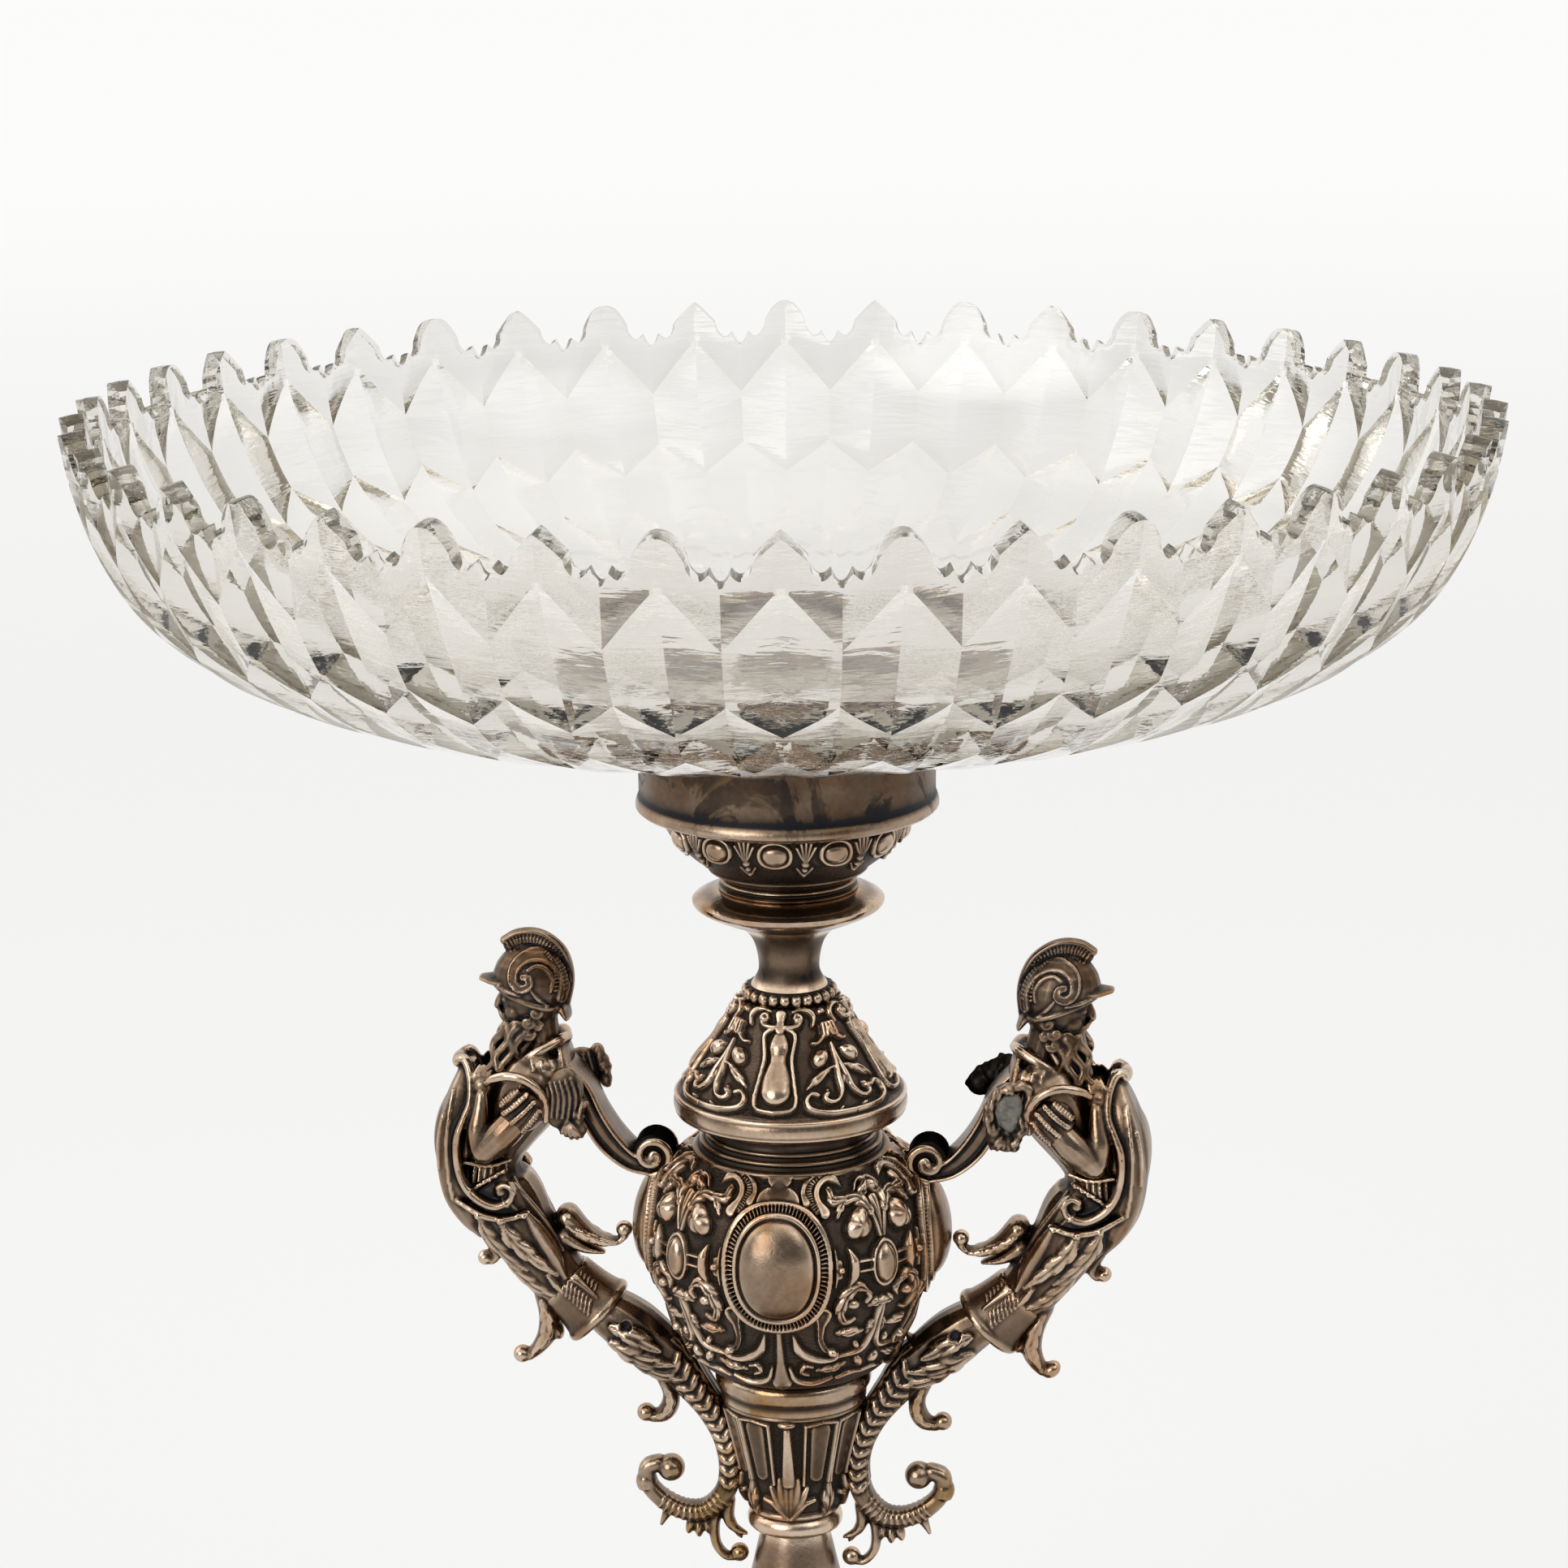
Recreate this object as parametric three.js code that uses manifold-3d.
// A presentation bowl: a cut-glass bowl on a silver stand with two figure handles.
// Millimetres, +Z up, origin on the table under the middle of the foot.
// The handles stand in the XZ plane. Heights are measured from the table.

import * as THREE from 'three';
import { mergeVertices } from 'three/addons/utils/BufferGeometryUtils.js';
import Module from 'manifold-3d';

const wasm = await Module();
wasm.setup();

// Driving dimensions

const TIP_HEIGHT = 330; // the points of the glass rim
const GLASS_RADIUS = 142.8; // outside edge of the rim
const GLASS_FOOT_HEIGHT = 265; // flat ground underside of the glass
const TEETH = 42;
const TOOTH_TURN = (1.73 * Math.PI) / 180; // from +X to the nearest tooth
const RIM_WALL = 5.2;
const PLUG_RADIUS = 27.6;
const PLUG_BOTTOM = 252;

const FOOT_RADIUS = 70;
const TIE_ROD_RADIUS = 3;
const TIE_ROD_FOOT = 28.5; // heights of its ends
const TIE_ROD_HEAD = 251;
const ROD_NUT_RADIUS = 5.6;
const ROD_HOLE_RADIUS = 3.6;
const FIT_GAP = 0.3; // between pieces that touch along turned or slanted faces

const ROUND_SIDES = 28; // facets of a large turned piece
const SMALL_SIDES = 22; // facets of a middling one
const SLENDER_SIDES = 18; // facets of a slender one
const SCREW_RADIUS = 1.5;
const SCREW_HOLE_RADIUS = 1.9;
const NUT_RADIUS = 3;
const NUT_HEIGHT = 2;
const SCREW_SIDES = 12;

// Heights of the joints between the stacked pieces of the stand

const HEIGHT = {
  footRimTop: 8,
  footDomeTop: 38,
  footCollarTop: 42.5,
  trumpetTop: 89.5,
  torusTop: 94,
  flutedTop: 119.6,
  baseRingTop: 126,
  vaseTop: 173.6,
  neckRingTop: 181.5,
  hoodTop: 206,
  beadsTop: 209,
  spoolTop: 222,
  discTop: 229.5,
  ringsTop: 232.2,
  cupTop: 246,
  collarFloor: 247.5,
  collarTop: 264.5,
};

// Finishes

const silver = new THREE.MeshStandardMaterial({ color: 0x8a7562, roughness: 0.35, metalness: 1 });
const darkSilver = new THREE.MeshStandardMaterial({ color: 0x5f5248, roughness: 0.45, metalness: 1 });
const giltSilver = new THREE.MeshStandardMaterial({ color: 0x8d7136, roughness: 0.35, metalness: 1 });
const steel = new THREE.MeshStandardMaterial({ color: 0x77777a, roughness: 0.4, metalness: 1 });
const glass = new THREE.MeshStandardMaterial({
  color: 0xe6e8e0, roughness: 0.05, metalness: 0, transparent: true, opacity: 0.35,
});
const cork = new THREE.MeshStandardMaterial({ color: 0x8c6a47, roughness: 0.9, metalness: 0 });

// Geometry helpers

function merged(geometry) {
  const bare = geometry.index ? geometry.toNonIndexed() : geometry.clone();
  bare.deleteAttribute('normal');
  bare.deleteAttribute('uv');
  return mergeVertices(bare, 1e-4);
}

function signedVolume(positions, indices) {
  let volume = 0;
  const a = new THREE.Vector3();
  const b = new THREE.Vector3();
  const c = new THREE.Vector3();
  for (let i = 0; i < indices.length; i += 3) {
    a.fromArray(positions, 3 * indices[i]);
    b.fromArray(positions, 3 * indices[i + 1]);
    c.fromArray(positions, 3 * indices[i + 2]);
    volume += a.dot(b.cross(c));
  }
  return volume;
}

// Turns a closed geometry into a solid whose faces point out.
function solidFrom(geometry) {
  const shape = merged(geometry);
  const positions = shape.attributes.position.array;
  const kept = [];
  const index = shape.index.array;
  for (let i = 0; i < index.length; i += 3) {
    const [p, q, r] = [index[i], index[i + 1], index[i + 2]];
    if (p !== q && q !== r && r !== p) kept.push(p, q, r);
  }
  if (signedVolume(positions, kept) < 0) {
    for (let i = 0; i < kept.length; i += 3) {
      [kept[i + 1], kept[i + 2]] = [kept[i + 2], kept[i + 1]];
    }
  }
  return new wasm.Manifold(new wasm.Mesh({
    numProp: 3,
    vertProperties: Float32Array.from(positions),
    triVerts: Uint32Array.from(kept),
  }));
}

function geometryFrom(solid) {
  const { vertProperties, triVerts } = solid.getMesh();
  const geometry = new THREE.BufferGeometry();
  geometry.setAttribute('position', new THREE.BufferAttribute(Float32Array.from(vertProperties), 3));
  geometry.setIndex(new THREE.BufferAttribute(Uint32Array.from(triVerts), 1));
  geometry.computeVertexNormals();
  return geometry;
}

function union(solids) {
  return solids.reduce((sum, next) => sum.add(next));
}

function node(name, solid, material) {
  const mesh = new THREE.Mesh(geometryFrom(solid), material);
  mesh.name = name;
  return mesh;
}

// A turned piece about +Z. The profile is a closed loop of [radius, height].
function turned(profile, sides = ROUND_SIDES) {
  const loop = [...profile, profile[0]].map(([radius, height]) => new THREE.Vector2(radius, height));
  return solidFrom(new THREE.LatheGeometry(loop, sides).rotateX(Math.PI / 2));
}

// A turned shell: the outline from bottom to top, and the cavity from bottom to top.
function shell(outline, cavity, sides = ROUND_SIDES) {
  return turned([...outline, ...[...cavity].reverse()], sides);
}

function rodBetween(start, end, radius, sides = 16) {
  const axis = end.clone().sub(start);
  const rod = new THREE.CylinderGeometry(radius, radius, axis.length(), sides);
  const upright = new THREE.Vector3(0, 1, 0);
  rod.applyQuaternion(new THREE.Quaternion().setFromUnitVectors(upright, axis.clone().normalize()));
  rod.translate(...start.clone().add(end).multiplyScalar(0.5).toArray());
  return solidFrom(rod);
}

function ellipsoid([x, y, z], [rx, ry, rz], across = 7, up = 5) {
  return solidFrom(new THREE.SphereGeometry(1, across, up).scale(rx, ry, rz).translate(x, y, z));
}

// A cast limb: rings of [x, z, half width in the plane, half depth along y, y] joined in order.
function limb(rings, sides = 6) {
  const centres = rings.map(([x, z, , , y = 0]) => new THREE.Vector3(x, y, z));
  const positions = [];
  const index = [];
  rings.forEach(([, , halfWidth, halfDepth], i) => {
    const before = centres[Math.max(i - 1, 0)];
    const after = centres[Math.min(i + 1, rings.length - 1)];
    const along = after.clone().sub(before);
    along.y = 0;
    along.normalize();
    for (let k = 0; k < sides; k += 1) {
      const turn = (2 * Math.PI * (k + 0.5)) / sides;
      const across = halfWidth * Math.cos(turn);
      positions.push(centres[i].x - along.z * across);
      positions.push(centres[i].y + halfDepth * Math.sin(turn));
      positions.push(centres[i].z + along.x * across);
    }
  });
  for (let i = 0; i + 1 < rings.length; i += 1) {
    for (let k = 0; k < sides; k += 1) {
      const here = i * sides + k;
      const beside = i * sides + ((k + 1) % sides);
      index.push(here, beside, beside + sides, here, beside + sides, here + sides);
    }
  }
  for (const end of [0, rings.length - 1]) {
    const hub = positions.length / 3;
    positions.push(...centres[end].toArray());
    for (let k = 0; k < sides; k += 1) {
      const here = end * sides + k;
      const beside = end * sides + ((k + 1) % sides);
      if (end === 0) index.push(hub, beside, here);
      else index.push(hub, here, beside);
    }
  }
  const geometry = new THREE.BufferGeometry();
  geometry.setAttribute('position', new THREE.BufferAttribute(new Float32Array(positions), 3));
  geometry.setIndex(index);
  return solidFrom(geometry);
}

// A flat plate in the XZ plane, drawn as [x, z] points and centred on y = 0.
function plate(outline, thickness) {
  const shape = new THREE.Shape(outline.map(([x, z]) => new THREE.Vector2(x, z)));
  const body = new THREE.ExtrudeGeometry(shape, { depth: thickness, bevelEnabled: false });
  return solidFrom(body.rotateX(Math.PI / 2).translate(0, thickness / 2, 0));
}

// The foot, which stands on the table

function makeFootRim() {
  const outline = [
    [FOOT_RADIUS, 0], [FOOT_RADIUS, 2.5], [68.6, 3.8], [67, 4.2], [66.6, 6], [65.4, HEIGHT.footRimTop],
  ];
  const cavity = [[58, 0], [58, 4], [61, HEIGHT.footRimTop]];
  return node('foot_rim', shell(outline, cavity), silver);
}

function makeFootDome() {
  const outline = [
    [65.4, HEIGHT.footRimTop], [64.2, 13], [56.5, 18.6], [52.5, 22], [36, 28.5], [30, 33],
    [27, HEIGHT.footDomeTop],
  ];
  const cavity = [
    [62, HEIGHT.footRimTop], [60.6, 12], [50.8, 20.2], [35.2, 26.6], [28.4, 31.6], [26, 36.4],
    [12, 36.4], [12, HEIGHT.footDomeTop],
  ];
  return node('foot_dome', shell(outline, cavity), silver);
}

function makeFootCollar() {
  const outline = [
    [27, HEIGHT.footDomeTop], [28.3, 39.2], [28.3, 41.3], [27, HEIGHT.footCollarTop],
  ];
  const cavity = [[20, HEIGHT.footDomeTop], [20, HEIGHT.footCollarTop]];
  return node('foot_collar', shell(outline, cavity, SMALL_SIDES), silver);
}

// The stem below the vase

function makeTrumpet() {
  const outline = [
    [26, HEIGHT.footCollarTop], [22, 46.5], [16.6, 55], [12.6, 66], [8.95, 81.3], [7.1, HEIGHT.trumpetTop],
  ];
  const cavity = [
    [24, HEIGHT.footCollarTop], [20.4, 46], [15, 54.4], [11, 65.6], [7.4, 80.6], [ROD_HOLE_RADIUS, 87],
    [ROD_HOLE_RADIUS, HEIGHT.trumpetTop],
  ];
  return node('stem_trumpet', shell(outline, cavity, SLENDER_SIDES), silver);
}

function makeStemTorus() {
  const outline = [
    [7.6, HEIGHT.trumpetTop], [9.6, 90.4], [10.05, 91.7], [9.7, 93.1], [8.8, HEIGHT.torusTop],
  ];
  const cavity = [[ROD_HOLE_RADIUS, HEIGHT.trumpetTop], [ROD_HOLE_RADIUS, HEIGHT.torusTop]];
  return node('stem_torus', shell(outline, cavity, SLENDER_SIDES), silver);
}

function makeFlutedStem(screwHoles) {
  const outline = [
    [9.2, HEIGHT.torusTop], [10.5, 98.5], [11.15, 103.9], [12.8, 111.3], [14.85, HEIGHT.flutedTop],
  ];
  const cavity = [
    [ROD_HOLE_RADIUS, HEIGHT.torusTop], [ROD_HOLE_RADIUS, 97], [8.4, 97.6], [9.2, 103.5],
    [10.9, 111.5], [12.8, HEIGHT.flutedTop],
  ];
  const body = shell(outline, cavity, SMALL_SIDES);
  return node('fluted_stem', screwHoles.reduce((left, hole) => left.subtract(hole), body), silver);
}

function makeVaseBaseRing() {
  const outline = [
    [15.3, HEIGHT.flutedTop], [15.5, 121.5], [16.3, 123], [16.3, 125], [15.6, HEIGHT.baseRingTop],
  ];
  const cavity = [[12.8, HEIGHT.flutedTop], [12.8, HEIGHT.baseRingTop]];
  return node('vase_base_ring', shell(outline, cavity, SLENDER_SIDES), giltSilver);
}

// The vase, with a large oval boss on each side

const VASE = {
  wallRadius: 28.2,
  bossHeight: 157.5,
  bossFrame: [11.2, 13.7], // half width and half height
  frameRise: 3.2, // how far the frame and the boss stand out of the wall radius
  boss: [7.8, 10.5],
  bossRise: 4.9,
  outline: [
    [15.2, HEIGHT.baseRingTop], [20.6, 129.4], [25.7, 140.5], [28.4, 148], [29.4, 154.5], [28.8, 161.5],
    [26.8, 168], [20.6, HEIGHT.vaseTop],
  ],
};

function onVaseAxis(profile) {
  return [[0, HEIGHT.baseRingTop], ...profile, [0, HEIGHT.vaseTop]];
}

function bossFrame(growth) {
  const [halfWidth, halfHeight] = VASE.bossFrame;
  const frame = new THREE.SphereGeometry(1, 6, 6);
  return frame.scale(VASE.frameRise + growth, halfWidth + growth, halfHeight + growth)
    .translate(VASE.wallRadius, 0, VASE.bossHeight);
}

function makeVaseBody(screwHoles) {
  const cavity = [
    [12.8, HEIGHT.baseRingTop], [18.8, 130.3], [24.1, 141.3], [27.8, 154.5], [27, 161.5], [25.2, 167.3],
    [18, HEIGHT.vaseTop],
  ];
  const parts = [turned(onVaseAxis(VASE.outline), SMALL_SIDES)];
  for (let side = 0; side < 4; side += 1) {
    const turn = (side * Math.PI) / 2;
    const boss = new THREE.SphereGeometry(1, 8, 5).scale(VASE.bossRise, VASE.boss[0], VASE.boss[1]);
    boss.translate(VASE.wallRadius, 0, VASE.bossHeight);
    parts.push(solidFrom(bossFrame(0).rotateZ(turn)), solidFrom(boss.rotateZ(turn)));
  }
  const body = union(parts).subtract(turned(onVaseAxis(cavity), SMALL_SIDES));
  return node('vase_body', screwHoles.reduce((left, hole) => left.subtract(hole), body), silver);
}

function makeNeckRing() {
  const outline = [
    [20.6, HEIGHT.vaseTop], [18.8, 175], [17.4, 176.4], [17.3, 178], [18.1, 179.3],
    [17.6, HEIGHT.neckRingTop],
  ];
  const cavity = [[15, HEIGHT.vaseTop], [15, HEIGHT.neckRingTop]];
  return node('vase_neck_ring', shell(outline, cavity, SMALL_SIDES), giltSilver);
}

// The bell-shaped hood over the vase, its ring of beads and the spool above

function makeHood() {
  const outline = [
    [22.4, HEIGHT.neckRingTop], [24.1, 183.6], [23.4, 186.6], [20.9, 188.7], [15.1, 197.1],
    [9.8, HEIGHT.hoodTop],
  ];
  const cavity = [
    [15, HEIGHT.neckRingTop], [15, 183], [21.2, 184.6], [13.4, 196.2], [9, 203.6],
    [ROD_HOLE_RADIUS, 204], [ROD_HOLE_RADIUS, HEIGHT.hoodTop],
  ];
  return node('bell_hood', shell(outline, cavity), silver);
}

function makeBeadedRing() {
  const outline = [
    [8.6, HEIGHT.hoodTop], [9.8, 207], [9.8, 208], [8.6, HEIGHT.beadsTop],
  ];
  const cavity = [[ROD_HOLE_RADIUS, HEIGHT.hoodTop], [ROD_HOLE_RADIUS, HEIGHT.beadsTop]];
  return node('beaded_ring', shell(outline, cavity, SLENDER_SIDES), silver);
}

function makeSpool() {
  const outline = [
    [7.9, HEIGHT.beadsTop], [6.5, 211.3], [6.2, 213.3], [6.8, 217], [8, 219.6], [10.4, HEIGHT.spoolTop],
  ];
  const cavity = [[ROD_HOLE_RADIUS, HEIGHT.beadsTop], [ROD_HOLE_RADIUS, HEIGHT.spoolTop]];
  return node('neck_spool', shell(outline, cavity, SLENDER_SIDES), silver);
}

function makeDripDisc() {
  const outline = [
    [10.4, HEIGHT.spoolTop], [14.2, 223.4], [18.2, 225.3], [19.6, 226.6], [19, 227.8],
    [14.6, HEIGHT.discTop],
  ];
  const cavity = [[ROD_HOLE_RADIUS, HEIGHT.spoolTop], [ROD_HOLE_RADIUS, HEIGHT.discTop]];
  return node('drip_disc', shell(outline, cavity, SMALL_SIDES), silver);
}

function makeCupRings() {
  const outline = [
    [13.9, HEIGHT.discTop], [14.4, 230.1], [13.6, 230.7], [14, 231.4], [13.3, HEIGHT.ringsTop],
  ];
  const cavity = [[ROD_HOLE_RADIUS, HEIGHT.discTop], [ROD_HOLE_RADIUS, HEIGHT.ringsTop]];
  return node('cup_rings', shell(outline, cavity, SLENDER_SIDES), giltSilver);
}

// The cup under the collar

function makeCup() {
  const outline = [
    [13.7, HEIGHT.ringsTop], [17.3, 235.1], [20.6, 237.8], [23.2, 241.4], [23.8, HEIGHT.cupTop],
  ];
  const cavity = [
    [ROD_HOLE_RADIUS, HEIGHT.ringsTop], [ROD_HOLE_RADIUS, 233.8], [12.8, 234], [18.9, 238.6],
    [21.4, 242], [21.8, HEIGHT.cupTop],
  ];
  return node('cabochon_cup', shell(outline, cavity, SMALL_SIDES), silver);
}

function makeCollar() {
  const outline = [
    [28.6, HEIGHT.cupTop], [30.7, 247], [30.6, 248.6], [30.1, 249.6], [30.2, HEIGHT.collarTop],
  ];
  const cavity = [
    [ROD_HOLE_RADIUS, HEIGHT.cupTop], [ROD_HOLE_RADIUS, HEIGHT.collarFloor], [28.9, HEIGHT.collarFloor],
    [28.9, HEIGHT.collarTop],
  ];
  return node('bowl_collar', shell(outline, cavity), darkSilver);
}

// The tie rod and its fixings, which clamp the stack

function makeTieRod() {
  const foot = new THREE.Vector3(0, 0, TIE_ROD_FOOT);
  const head = new THREE.Vector3(0, 0, TIE_ROD_HEAD);
  return node('tie_rod', rodBetween(foot, head, TIE_ROD_RADIUS), steel);
}

// A six-sided nut whose near face lies this far along an axis.
function makeNut(start, along, near, { height, radius, bore }) {
  const place = (distance) => start.clone().addScaledVector(along, distance);
  const hole = rodBetween(place(near - 1), place(near + height + 1), bore + FIT_GAP);
  return rodBetween(place(near), place(near + height), radius, 6).subtract(hole);
}

function makeRodNut(name, bottom, height) {
  const size = { height, radius: ROD_NUT_RADIUS, bore: TIE_ROD_RADIUS };
  const nut = makeNut(new THREE.Vector3(), new THREE.Vector3(0, 0, 1), bottom, size);
  return node(name, nut, steel);
}

// The washer bears on the ceiling of the dome from below.
const WASHER = { radius: 17, bottom: 34.9, top: 36.4 };

function makeFootWasher() {
  const outline = [[WASHER.radius, WASHER.bottom], [WASHER.radius, WASHER.top]];
  const bore = [[ROD_HOLE_RADIUS, WASHER.bottom], [ROD_HOLE_RADIUS, WASHER.top]];
  return node('foot_washer', shell(outline, bore, SMALL_SIDES), steel);
}

// The glass bowl. Its outside is cut in rows of upright hexagons, each with a groove down its
// middle and sharp ridges around it. Every second row is turned by half a tooth.

const GLASS_PROFILE = [ // [drop below the tips, outside radius]
  [9.5, 141], [21.3, 137.6], [32.4, 131.6], [39.2, 125.4], [46, 116], [51.6, 103], [56.6, 85],
  [60.6, 64], [63.6, 44],
];
const GROOVE_DEPTH = [2.4, 2.2, 2.4, 2.2, 1.9, 1.7, 1.4, 1.1, 0.7];
const GLASS_INSIDE = [ // [drop below the tips, inside radius], from the rim down
  [14, 135], [28, 127.6], [39, 115.6], [48, 97], [53.2, 74], [56.4, 40],
];
// Each pitch has a tooth, two small scallops and a large one, where the first row of cuts runs out.
const RIM_OUTLINE = [ // [place along the pitch from the tooth's middle, drop, inset of the outside]
  [-0.5, 9, 4], [-0.41, 6.6, 3.1], [-0.33, 7.7, 3], [-0.23, 5, 2], [-0.12, 1.6, 0.8],
  [0, 0, 0.3], [0.12, 1.6, 0.8], [0.23, 5, 2], [0.33, 7.7, 3], [0.41, 6.6, 3.1],
];
const INSIDE_TAPER = 0.19; // how fast the inside narrows below the rim

function ringOf(count, place) {
  return Array.from({ length: count }, (unused, k) => {
    const [turn, radius, height] = place(k);
    return { turn, point: [radius * Math.cos(turn), radius * Math.sin(turn), height] };
  });
}

// Joins two rings of points by always stepping along the ring that lags behind.
function stitch(lower, upper, add) {
  const full = 2 * Math.PI;
  let i = 0;
  let j = 0;
  const turnOf = (ring, k) => ring[k % ring.length].turn + full * Math.floor(k / ring.length);
  while (i < lower.length || j < upper.length) {
    const a = lower[i % lower.length].point;
    const b = upper[j % upper.length].point;
    const stepLower = j >= upper.length
      || (i < lower.length && turnOf(lower, i + 1) <= turnOf(upper, j + 1) + 1e-9);
    if (stepLower) {
      i += 1;
      add(a, lower[i % lower.length].point, b);
    } else {
      j += 1;
      add(a, upper[j % upper.length].point, b);
    }
  }
}

// Joins two rings of equal count. The ridges cross each square along the given diagonal.
function stitchSquares(lower, upper, risesFromEven, add) {
  const count = lower.length;
  for (let k = 0; k < count; k += 1) {
    const n = (k + 1) % count;
    const rising = (k % 2 === 0) === risesFromEven;
    if (rising) {
      add(lower[k].point, lower[n].point, upper[n].point);
      add(lower[k].point, upper[n].point, upper[k].point);
    } else {
      add(lower[k].point, lower[n].point, upper[k].point);
      add(lower[n].point, upper[n].point, upper[k].point);
    }
  }
}

function makeGlassBowl() {
  const positions = [];
  const add = (...corners) => positions.push(...corners.flat());
  const pitch = (2 * Math.PI) / TEETH;
  const columns = 2 * TEETH;

  const rimColumns = RIM_OUTLINE.length * TEETH;
  const rimPlace = (k, radiusAt) => {
    const [along, drop, sunk] = RIM_OUTLINE[k % RIM_OUTLINE.length];
    const tooth = Math.floor(k / RIM_OUTLINE.length);
    return [pitch * (tooth + along), radiusAt(drop, sunk), TIP_HEIGHT - drop];
  };
  const rimOutside = ringOf(rimColumns, (k) => rimPlace(k, (drop, sunk) => GLASS_RADIUS - sunk));
  const rimInside = ringOf(rimColumns, (k) => (
    rimPlace(k, (drop) => GLASS_RADIUS - RIM_WALL - INSIDE_TAPER * drop)
  ));

  // Even columns lie under the teeth, odd columns under the notches. Going down, each column
  // is a ridge for two levels and a groove for the next two.
  const levels = GLASS_PROFILE.map(([drop, radius], level) => ringOf(columns, (k) => {
    const phase = (level + (k % 2 === 0 ? 1 : 3)) % 4;
    const ridge = phase === 0 || phase === 1;
    const depth = ridge ? 0 : GROOVE_DEPTH[level];
    const column = k - 1;
    return [(pitch * column) / 2, radius - depth, TIP_HEIGHT - drop];
  }));
  const foot = ringOf(TEETH, (k) => [pitch * (k - 0.5), 33, GLASS_FOOT_HEIGHT]);
  const neck = ringOf(TEETH, (k) => [pitch * (k - 0.5), PLUG_RADIUS, GLASS_FOOT_HEIGHT]);
  const plug = ringOf(TEETH, (k) => [pitch * (k - 0.5), PLUG_RADIUS, PLUG_BOTTOM]);
  const inside = GLASS_INSIDE.map(([drop, radius]) => (
    ringOf(TEETH, (k) => [pitch * (k - 0.5), radius, TIP_HEIGHT - drop])
  ));

  stitch(levels[0], rimOutside, add);
  for (let level = 0; level + 1 < levels.length; level += 1) {
    stitchSquares(levels[level + 1], levels[level], level % 4 < 2, add);
  }
  stitch(foot, levels[levels.length - 1], add);
  stitch(neck, foot, add);
  stitch(plug, neck, add);
  const underside = [0, 0, PLUG_BOTTOM];
  const well = [0, 0, TIP_HEIGHT - GLASS_INSIDE[GLASS_INSIDE.length - 1][0]];
  for (let k = 0; k < TEETH; k += 1) {
    const n = (k + 1) % TEETH;
    const last = inside[inside.length - 1];
    add(underside, plug[n].point, plug[k].point);
    add(well, last[k].point, last[n].point);
  }
  stitch(rimOutside, rimInside, add);
  stitch(rimInside, inside[0], add);
  for (let i = 0; i + 1 < inside.length; i += 1) stitch(inside[i], inside[i + 1], add);

  const geometry = new THREE.BufferGeometry();
  geometry.setAttribute('position', new THREE.BufferAttribute(new Float32Array(positions), 3));
  return node('glass_bowl', solidFrom(geometry.rotateZ(TOOTH_TURN)), glass);
}

// The cork ring that the plug of the glass stands on
const PAD = { outside: 28.2, inside: 20, bottom: 247.8, top: 251.7 };

function makeSeatPad() {
  const outline = [[PAD.outside, PAD.bottom], [PAD.outside, PAD.top]];
  const opening = [[PAD.inside, PAD.bottom], [PAD.inside, PAD.top]];
  return node('seat_pad', shell(outline, opening), cork);
}

// One handle, drawn on the +X side: x is the distance out from the stem.
// A helmeted, bearded figure grows from a sheath of leaves and a scrolled tail.

const HANDLE = {
  pinTop: new THREE.Vector3(50.4, 0, 144.7),
  pinFoot: new THREE.Vector3(37.2, 0, 132.6),
  cuffTop: new THREE.Vector3(46.6, 0, 141.2),
  cuffMouth: new THREE.Vector3(41, 0, 136.1),
  volute: new THREE.Vector3(28.6, 0, 172.8),
  voluteInto: new THREE.Vector3(-0.67, 0, -0.742),
  voluteRadius: 4.2,
  tailScrewHeight: 112.5,
  armHalfDepth: 5,
};

function makeHead() {
  const crest = plate([
    [58.4, 217.4], [55.4, 219.2], [51.2, 219], [47.2, 216.4], [44.9, 211.2], [44.9, 206.5],
    [46.6, 202.4], [50, 206], [52, 213], [56.5, 214.5],
  ], 2.4);
  return [
    ellipsoid([53.6, 0, 204.6], [7, 5.6, 7.4], 8, 6), // the head under the helmet
    ellipsoid([53.3, 0, 208.3], [8.6, 7, 8.4], 8, 6), // the helmet
    crest,
    limb([[57, 210.6, 1.6, 5.8], [61.4, 209.4, 1.2, 4.2], [63.4, 208.6, 0.7, 2]], 5), // its peak
    limb([[49.2, 204, 3.6, 5.6], [48.4, 196.6, 1.6, 3.8]]), // the neck guard
    limb([[52.4, 203, 5, 5], [50.8, 192, 6, 6.5]]), // the neck
    limb([[57, 201.6, 3.8, 4.6], [58.2, 197, 4.2, 5], [59.4, 191.5, 4, 5.2], [60.4, 187, 2, 3.4]]),
  ];
}

function makeTrunk() {
  return limb([
    [51, 194, 5, 6], [52.4, 189.8, 8.6, 11.6], [55.6, 183, 8.6, 11.4], [62.4, 170.4, 5.9, 7.4],
    [63.2, 164.4, 9, 9], [59.6, 157.6, 10, 9.4], [50.2, 145, 7.2, 7], [47.3, 141.9, 6.3, 6.3],
  ], 8);
}

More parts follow.
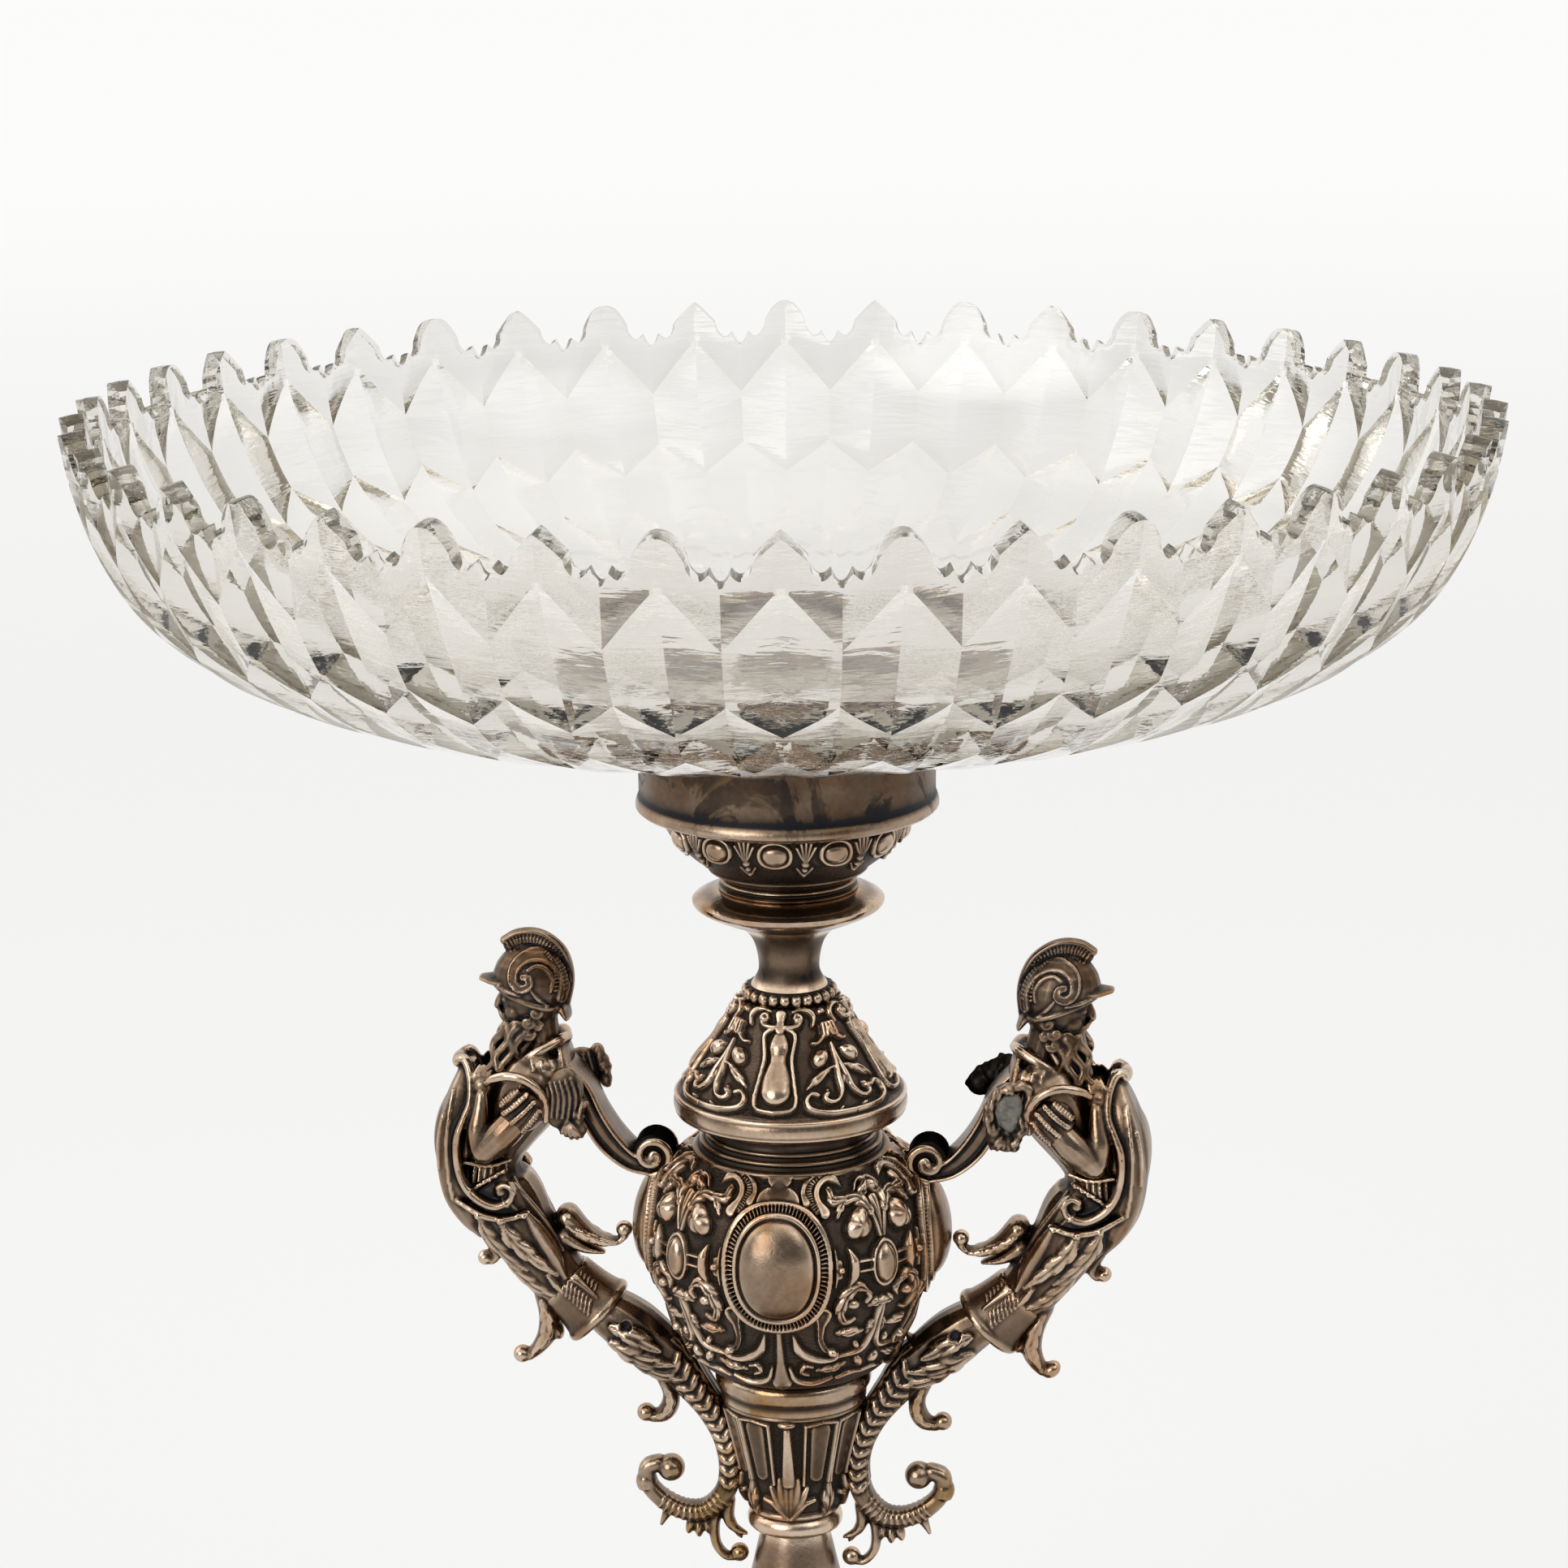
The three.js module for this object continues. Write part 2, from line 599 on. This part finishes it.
function makeArm(side) {
  return [
    ellipsoid([55.7, 10.2 * side, 180.5], [4.8, 3.8, 5.4], 6, 5), // the puffed sleeve
    limb([
      [57, 179.6, 2.8, 2.6, 10.6 * side], [64.4, 170, 2.5, 2.4, 8.8 * side],
      [64.8, 177, 2, 2, 7.6 * side], [63.8, 188.2, 1.7, 2, 5.6 * side],
    ], 5),
    limb([ // the side scroll that frames the shield
      [68.6, 191, 2.2, 2.1, 5.4 * side], [66.6, 187.5, 1.4, 1.8, 5.6 * side],
      [70, 176.5, 1.3, 1.8, 7.4 * side], [71.2, 168.5, 1.3, 1.8, 8.2 * side],
      [65.4, 157.6, 1.8, 1.8, 8.8 * side], [59.6, 157.6, 1.7, 1.8, 9.4 * side],
      [58.6, 161.6, 1.6, 1.8, 9.2 * side],
    ], 5),
  ];
}

function makeSheathLeaves() {
  return [
    limb([ // the shield in front of the arms
      [66.8, 187.4, 1.4, 4], [70.2, 180.4, 1.9, 6.6], [72.2, 171, 2, 7.8], [70.4, 160, 2.2, 7.2],
      [66.6, 154.4, 2, 5],
    ]),
    limb([[46, 155.4, 3, 4.4], [40.6, 152.3, 1.6, 2.8], [37, 150.8, 0.9, 1.8], [35.4, 153.4, 1.3, 1.7]], 5),
    limb([[49, 150, 3, 4.4], [43.6, 148.4, 1.9, 3.4], [39.4, 147.4, 0.7, 1.4]], 5),
    limb([[53, 145, 3.2, 4.4], [54, 136, 2.4, 3.4], [55.6, 128.4, 1.4, 2], [57.6, 126, 1.2, 1.6]], 5),
    ellipsoid([57.6, 0, 125], [1.9, 1.9, 1.9], 6, 4),
    limb([[52.6, 136, 1.6, 2], [49.9, 128.4, 0.6, 1]], 5),
    limb([[61, 152.8, 2.8, 4.2], [64.2, 150.2, 1.5, 2.4], [65.5, 146.8, 1.1, 1.5]], 5),
  ];
}

function makeFigure() {
  const boreEnd = HANDLE.pinTop.clone().addScaledVector(pinAlong(), 1);
  const bore = rodBetween(HANDLE.pinFoot, boreEnd, SCREW_HOLE_RADIUS);
  const stumps = [1, -1].map((side) => (
    ellipsoid([46.4, 7.4 * side, 184.6], [4.4, 3.4, 5.4], 6, 4) // rough where a casting broke away
  ));
  const parts = [...makeHead(), makeTrunk(), ...makeArm(1), ...makeArm(-1), ...makeSheathLeaves(), ...stumps];
  const armRoot = limb(ARM_PATH.slice(0, 3).map(([x, z, w, d]) => [x, z, w + FIT_GAP, d + FIT_GAP]));
  return union(parts).subtract(bore).subtract(armRoot);
}

function pinAlong() {
  return HANDLE.pinTop.clone().sub(HANDLE.pinFoot).normalize();
}

// The broad scrolled band from the shoulders to the vase
const ARM_PATH = [
  [47.5, 190.6, 2.4, HANDLE.armHalfDepth], [43.8, 186.2, 2.7, HANDLE.armHalfDepth],
  [40.9, 180.3, 2.6, HANDLE.armHalfDepth], [37.5, 174.9, 2.6, HANDLE.armHalfDepth],
  [33.2, 171, 2.2, HANDLE.armHalfDepth], [28.8, 169.6, 1.9, HANDLE.armHalfDepth],
];

function makeScrollArm() {
  const roll = rodBetween(
    HANDLE.volute.clone().setY(-HANDLE.armHalfDepth),
    HANDLE.volute.clone().setY(HANDLE.armHalfDepth),
    HANDLE.voluteRadius,
    14,
  );
  const screwEnd = HANDLE.volute.clone().addScaledVector(HANDLE.voluteInto, 5);
  const screwHole = rodBetween(HANDLE.volute, screwEnd, SCREW_HOLE_RADIUS, SCREW_SIDES);
  return limb(ARM_PATH).add(roll).subtract(screwHole);
}

// The flared cuff that hides the joint between the figure and the tail
function makeCuff() {
  const length = HANDLE.cuffTop.distanceTo(HANDLE.cuffMouth);
  const bore = SCREW_HOLE_RADIUS;
  const cuff = turned([
    [bore, 0], [8.1, 0], [8.3, 1.2], [6.6, 3], [6.6, length], [bore, length],
  ], SLENDER_SIDES);
  const geometry = geometryFrom(cuff);
  const along = HANDLE.cuffTop.clone().sub(HANDLE.cuffMouth).normalize();
  geometry.applyQuaternion(new THREE.Quaternion().setFromUnitVectors(new THREE.Vector3(0, 0, 1), along));
  geometry.translate(...HANDLE.cuffMouth.toArray());
  return solidFrom(geometry);
}

function makePin() {
  const along = pinAlong();
  const foot = HANDLE.pinFoot.clone().addScaledVector(along, FIT_GAP);
  return rodBetween(foot, HANDLE.pinTop, SCREW_RADIUS, SCREW_SIDES);
}

function makeTail() {
  const trunk = limb([
    [40.6, 135.7, 6.2, 6.4], [37.2, 132.5, 6.2, 6.6], [27.2, 126.2, 5.1, 5.4], [22.4, 121.6, 4.3, 4.7],
    [18.7, 115.8, 3.1, 4], [14.9, 103.6, 2.4, 3.3], [14.8, 98.6, 2.4, 3.1], [17, 94.6, 2.4, 2.9],
    [21, 92.4, 2.3, 2.8], [25.4, 92.6, 2.3, 2.7], [30.2, 96, 2.2, 2.5], [31.4, 101, 1.9, 2.4],
    [28.4, 104.6, 1.6, 2.2], [25.4, 103.2, 1.4, 2.2],
  ]);
  const leaves = [
    ellipsoid([27.2, 0, 101.8], [2, 2.4, 2], 6, 4),
    limb([[29.4, 123.6, 2.6, 3.6], [28.4, 118, 2.2, 3], [30, 114.6, 1.3, 1.9], [33.4, 114.6, 1.5, 1.8]], 5),
    limb([[33.6, 131.4, 2.8, 4.2], [27, 133.4, 0.7, 1.4]], 5),
    limb([[20.6, 93, 1.9, 2.5], [17.7, 85, 1.2, 1.7], [12.8, 80.8, 0.9, 1.4]], 5),
    ellipsoid([12.2, 0, 82.4], [1.9, 1.9, 1.9], 6, 4),
    limb([[16.4, 94, 1.8, 2.6], [11.2, 88, 0.5, 0.8]], 5),
    limb([[27.4, 92.8, 1.8, 2.4], [28.6, 88.6, 0.5, 0.8]], 5),
    limb([[22.4, 91.6, 1.8, 2.4], [21.8, 87, 0.5, 0.8]], 5),
  ];
  const mouth = HANDLE.cuffMouth;
  const pinHoleEnd = mouth.clone().addScaledVector(pinAlong(), 2);
  const pinHole = rodBetween(HANDLE.pinFoot, pinHoleEnd, SCREW_HOLE_RADIUS, SCREW_SIDES);
  const screwHole = rodBetween(
    new THREE.Vector3(10, 0, HANDLE.tailScrewHeight),
    new THREE.Vector3(17.6, 0, HANDLE.tailScrewHeight),
    SCREW_HOLE_RADIUS,
    SCREW_SIDES,
  );
  return [trunk, ...leaves].reduce((sum, next) => sum.add(next)).subtract(pinHole).subtract(screwHole);
}

// Everything that the tail has to stay clear of, grown by the gap that touching pieces keep
function stemClearance() {
  return turned([
    [0, 70], [13.4 + FIT_GAP, 70], [9.2 + FIT_GAP, 81.3], [7.6 + FIT_GAP, 87], [7.6 + FIT_GAP, 89.5],
    [9.9 + FIT_GAP, 90.2], [10.3 + FIT_GAP, 91.7], [9.9 + FIT_GAP, 93.4], [10.6 + FIT_GAP, 97.5],
    [11.3 + FIT_GAP, 103.9], [13 + FIT_GAP, 111.3], [14.8 + FIT_GAP, 118], [15.8 + FIT_GAP, 121.5],
    [16.6 + FIT_GAP, 123], [16.6 + FIT_GAP, 125.2], [16 + FIT_GAP, 126], [20.2 + FIT_GAP, 127.8],
    [0, 127.8],
  ], SMALL_SIDES);
}

function vaseClearance() {
  const grown = VASE.outline.map(([radius, height]) => [radius + 2 * FIT_GAP, height]);
  return turned(onVaseAxis(grown), SMALL_SIDES).add(solidFrom(bossFrame(FIT_GAP)));
}

function screwLines() {
  const radial = new THREE.Vector3(-1, 0, 0);
  return [
    { at: HANDLE.volute, along: HANDLE.voluteInto, from: 0.3, to: 10.8, nut: 8 },
    { at: new THREE.Vector3(17.2, 0, HANDLE.tailScrewHeight), along: radial, from: 0, to: 9.9, nut: 7.4 },
  ];
}

function makeScrew({ at, along, from, to }) {
  const start = at.clone().addScaledVector(along, from);
  return rodBetween(start, at.clone().addScaledVector(along, to), SCREW_RADIUS, SCREW_SIDES);
}

function makeScrewHole({ at, along, from, to }) {
  const start = at.clone().addScaledVector(along, from);
  return rodBetween(start, at.clone().addScaledVector(along, to), SCREW_HOLE_RADIUS, SCREW_SIDES);
}

function makeScrewNut({ at, along, nut }) {
  return makeNut(at, along, nut, { height: NUT_HEIGHT, radius: NUT_RADIUS, bore: SCREW_RADIUS });
}

const [upperScrew, lowerScrew] = screwLines();
const stem = stemClearance();
const vase = vaseClearance();
const figure = makeFigure();
const scrollArm = makeScrollArm().subtract(vase);
const tail = makeTail().subtract(stem);
const cuffSolid = makeCuff();

// Both handles are the same casting; the left one is turned half a turn about the stem.
function makeHandle(side, turn) {
  const handle = new THREE.Group();
  handle.add(
    node(`${side}_figure`, figure, silver),
    node(`${side}_scroll_arm`, scrollArm, silver),
    node(`${side}_cuff`, cuffSolid, silver),
    node(`${side}_cuff_pin`, makePin(), steel),
    node(`${side}_tail`, tail, silver),
    node(`${side}_upper_screw`, makeScrew(upperScrew), steel),
    node(`${side}_upper_nut`, makeScrewNut(upperScrew), steel),
    node(`${side}_lower_screw`, makeScrew(lowerScrew), steel),
    node(`${side}_lower_nut`, makeScrewNut(lowerScrew), steel),
  );
  handle.rotation.z = turn;
  return handle;
}

function bothSides(line) {
  const hole = geometryFrom(makeScrewHole(line));
  return [0, Math.PI].map((turn) => solidFrom(hole.clone().rotateZ(turn)));
}

// Assembly

const bowl = new THREE.Group();
bowl.add(
  makeFootRim(),
  makeFootDome(),
  makeFootCollar(),
  makeTrumpet(),
  makeStemTorus(),
  makeFlutedStem(bothSides(lowerScrew)),
  makeVaseBaseRing(),
  makeVaseBody(bothSides(upperScrew)),
  makeNeckRing(),
  makeHood(),
  makeBeadedRing(),
  makeSpool(),
  makeDripDisc(),
  makeCupRings(),
  makeCup(),
  makeCollar(),
  makeTieRod(),
  makeFootWasher(),
  makeRodNut('foot_nut', 30.6, 4),
  makeRodNut('head_nut', HEIGHT.collarFloor, 2.6),
  makeSeatPad(),
  makeGlassBowl(),
  makeHandle('right', 0),
  makeHandle('left', Math.PI),
);

export default bowl;
